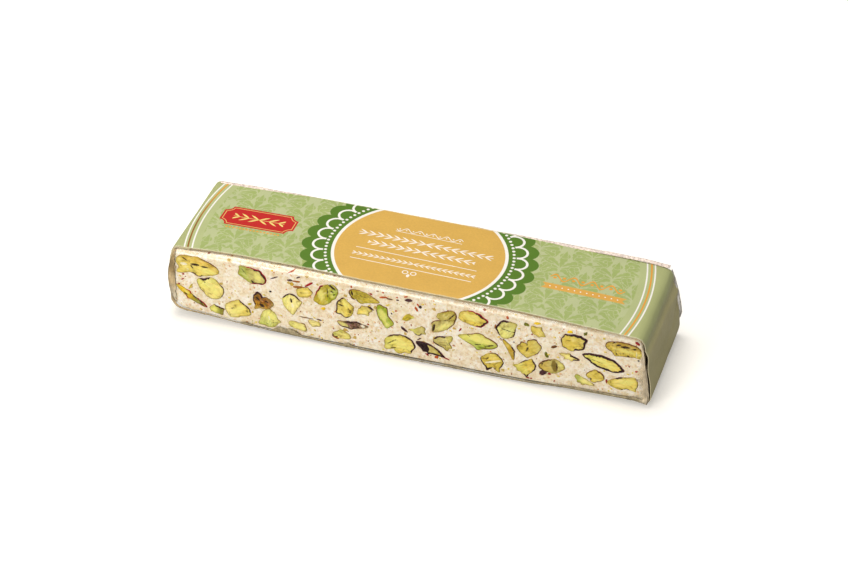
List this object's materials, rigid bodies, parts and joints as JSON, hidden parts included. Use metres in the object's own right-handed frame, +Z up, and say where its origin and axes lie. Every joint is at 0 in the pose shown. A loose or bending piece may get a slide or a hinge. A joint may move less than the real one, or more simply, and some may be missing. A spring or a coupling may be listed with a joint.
{
  "type": "nougat bar",
  "caption": "Bar of soft nougat set with pistachio kernels, in a clear film wrap, with a printed paper band folded lengthwise round it.",
  "frame": {"origin": "middle of the underside, at the height of the flat that the bar rests on", "axes": "+X along the bar to its right end, +Y to its back, +Z up"},
  "size_m": [0.1772, 0.0466, 0.0298],
  "materials": {
    "nougat": "soft nougat, cream to pale pink, with a satin cut face",
    "pistachio": "cut pistachio, yellow to green, with a dark purple skin at the rim",
    "clear_film": "clear glossy film, folded and crinkled at the ends",
    "printed_paper": "smooth printed paper, sage green with a tonal leaf pattern and a gold disc"
  },
  "bodies": {
    "root": {"nougat": "nougat", "kernel_front_01": "pistachio", "kernel_front_02": "pistachio", "kernel_front_03": "pistachio", "kernel_front_04": "pistachio", "kernel_front_05": "pistachio", "kernel_front_06": "pistachio", "kernel_front_07": "pistachio", "kernel_front_08": "pistachio", "kernel_front_09": "pistachio", "kernel_front_10": "pistachio", "kernel_front_11": "pistachio", "kernel_front_12": "pistachio", "kernel_front_13": "pistachio", "kernel_front_14": "pistachio", "kernel_front_15": "pistachio", "kernel_front_16": "pistachio", "kernel_front_17": "pistachio", "kernel_front_18": "pistachio", "kernel_front_19": "pistachio", "kernel_front_20": "pistachio", "kernel_front_21": "pistachio", "kernel_front_22": "pistachio", "kernel_front_23": "pistachio", "kernel_front_24": "pistachio", "kernel_front_25": "pistachio", "kernel_front_26": "pistachio", "kernel_front_27": "pistachio", "kernel_front_28": "pistachio", "kernel_front_29": "pistachio", "kernel_front_30": "pistachio", "kernel_front_31": "pistachio", "kernel_front_32": "pistachio", "kernel_front_33": "pistachio", "kernel_front_34": "pistachio", "kernel_front_35": "pistachio", "kernel_front_36": "pistachio", "kernel_front_37": "pistachio", "kernel_front_38": "pistachio", "kernel_front_39": "pistachio", "kernel_front_40": "pistachio", "kernel_back_01": "pistachio", "kernel_back_02": "pistachio", "kernel_back_03": "pistachio", "kernel_back_04": "pistachio", "kernel_back_05": "pistachio", "kernel_back_06": "pistachio", "kernel_back_07": "pistachio", "kernel_back_08": "pistachio", "kernel_back_09": "pistachio", "kernel_back_10": "pistachio", "kernel_back_11": "pistachio", "kernel_back_12": "pistachio", "kernel_back_13": "pistachio", "kernel_back_14": "pistachio", "kernel_back_15": "pistachio", "kernel_back_16": "pistachio", "kernel_back_17": "pistachio", "film_wrap": "clear_film", "paper_band": "printed_paper"}
  },
  "joints": []
}
